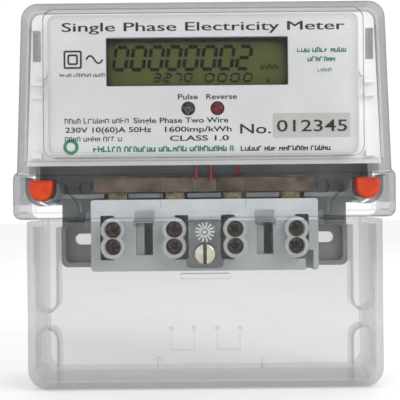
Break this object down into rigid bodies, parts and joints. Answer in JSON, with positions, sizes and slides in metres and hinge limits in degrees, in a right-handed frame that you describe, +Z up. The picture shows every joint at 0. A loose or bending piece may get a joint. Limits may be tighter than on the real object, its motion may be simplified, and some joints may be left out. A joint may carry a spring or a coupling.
{
  "type": "single-phase electricity meter",
  "caption": "Wall-mounted single-phase energy meter with a clear case, digital display, lamps, screw terminals, seal plugs and a clear hinged terminal cover with a sealing screw.",
  "frame": {"origin": "on the flat back of the base, midway across the object and midway up its height", "axes": "+Z up the wall, +Y into the wall, the display faces -Y, +X to the right as seen from the front"},
  "size_m": [0.15, 0.06, 0.151],
  "materials": {
    "base_grey": "moulded, fine satin grain",
    "rubber_black": "soft matt",
    "clear_plastic": "clear polished polycarbonate",
    "plated_steel": "zinc plated",
    "bronzed_steel": "dark bronzed, worn at the cross",
    "nickel_brass": "dull nickel over brass",
    "seal_orange": "glossy",
    "white_plastic": "semi-gloss",
    "plate_grey": "satin silver grey with printed marks",
    "sticker_beige": "matt",
    "display_olive": "polished display glass",
    "lamp_smoke": "clear smoked epoxy",
    "lamp_red": "clear red epoxy",
    "board_green": "solder mask",
    "chip_black": "moulded epoxy",
    "capacitor_blue": "dipped epoxy",
    "resistor_grey": "lacquer",
    "wire_red": "soft insulation",
    "block_grey": "moulded, satin bluish grey",
    "brass": "machined",
    "copper_bar": "dull copper",
    "manganin": "dark resistance alloy"
  },
  "bodies": {
    "case": {"base": "base_grey", "cover_gasket": "rubber_black", "meter_cover": "clear_plastic", "cover_screw_left": "plated_steel", "cover_screw_right": "plated_steel", "seal_plug_left": "seal_orange", "seal_plug_right": "seal_orange", "bezel_tray": "white_plastic", "nameplate": "plate_grey", "number_sticker": "sticker_beige", "display_glass": "display_olive", "display_holder": "white_plastic", "display_pins": "plated_steel", "circuit_board": "board_green", "board_screws": "plated_steel", "pulse_lamp": "lamp_smoke", "reverse_lamp": "lamp_red", "metering_chip": "chip_black", "processor_chip": "chip_black", "memory_chip": "chip_black", "crystal": "plated_steel", "mains_capacitor": "capacitor_blue", "smoothing_capacitor": "chip_black", "varistor": "capacitor_blue", "rectifier": "chip_black", "optocoupler": "white_plastic", "dropper_resistors": "resistor_grey", "sense_connector": "white_plastic", "sense_wires": "wire_red", "terminal_block": "block_grey", "block_screws": "plated_steel", "screw_insert": "brass", "terminal_lug_1": "brass", "terminal_lug_2": "brass", "terminal_lug_3": "brass", "terminal_lug_4": "brass", "phase_bar_in": "copper_bar", "shunt_element": "manganin", "phase_bar_out": "copper_bar", "neutral_link": "copper_bar"},
    "terminal_cover": {"terminal_cover": "clear_plastic"},
    "sealing_washer": {"sealing_washer": "plated_steel"},
    "sealing_screw": {"sealing_screw": "nickel_brass"},
    "terminal_screw_1a": {"terminal_screw_1a": "bronzed_steel"},
    "terminal_screw_1b": {"terminal_screw_1b": "bronzed_steel"},
    "terminal_screw_2a": {"terminal_screw_2a": "bronzed_steel"},
    "terminal_screw_2b": {"terminal_screw_2b": "bronzed_steel"},
    "terminal_screw_3a": {"terminal_screw_3a": "bronzed_steel"},
    "terminal_screw_3b": {"terminal_screw_3b": "bronzed_steel"},
    "terminal_screw_4a": {"terminal_screw_4a": "bronzed_steel"},
    "terminal_screw_4b": {"terminal_screw_4b": "bronzed_steel"}
  },
  "joints": [
    {"name": "terminal_cover_hinge", "type": "hinge", "parent": "case", "child": "terminal_cover", "pos_m": [0, -0.05, -0.0096], "axis": [-1, 0, 0], "range_deg": [0, 100]},
    {"name": "sealing_washer_travel", "type": "slide", "parent": "terminal_cover", "child": "sealing_washer", "axis": [0, 1, 0], "range_m": [0, 0.0065]},
    {"name": "sealing_screw_turn", "type": "hinge", "parent": "sealing_washer", "child": "sealing_screw", "pos_m": [0, -0.048, -0.0226], "axis": [0, 1, 0], "range_deg": [0, 2930]},
    {"name": "terminal_screw_1a_travel", "type": "slide", "parent": "case", "child": "terminal_screw_1a", "axis": [0, 1, 0], "range_m": [0, 0.0055]},
    {"name": "terminal_screw_1b_travel", "type": "slide", "parent": "case", "child": "terminal_screw_1b", "axis": [0, 1, 0], "range_m": [0, 0.0055]},
    {"name": "terminal_screw_2a_travel", "type": "slide", "parent": "case", "child": "terminal_screw_2a", "axis": [0, 1, 0], "range_m": [0, 0.0055]},
    {"name": "terminal_screw_2b_travel", "type": "slide", "parent": "case", "child": "terminal_screw_2b", "axis": [0, 1, 0], "range_m": [0, 0.0055]},
    {"name": "terminal_screw_3a_travel", "type": "slide", "parent": "case", "child": "terminal_screw_3a", "axis": [0, 1, 0], "range_m": [0, 0.0055]},
    {"name": "terminal_screw_3b_travel", "type": "slide", "parent": "case", "child": "terminal_screw_3b", "axis": [0, 1, 0], "range_m": [0, 0.0055]},
    {"name": "terminal_screw_4a_travel", "type": "slide", "parent": "case", "child": "terminal_screw_4a", "axis": [0, 1, 0], "range_m": [0, 0.0055]},
    {"name": "terminal_screw_4b_travel", "type": "slide", "parent": "case", "child": "terminal_screw_4b", "axis": [0, 1, 0], "range_m": [0, 0.0055]}
  ],
  "couplings": [
    {"joint": "sealing_screw_turn", "follows": "sealing_washer_travel", "rad_per_m": 7854}
  ]
}
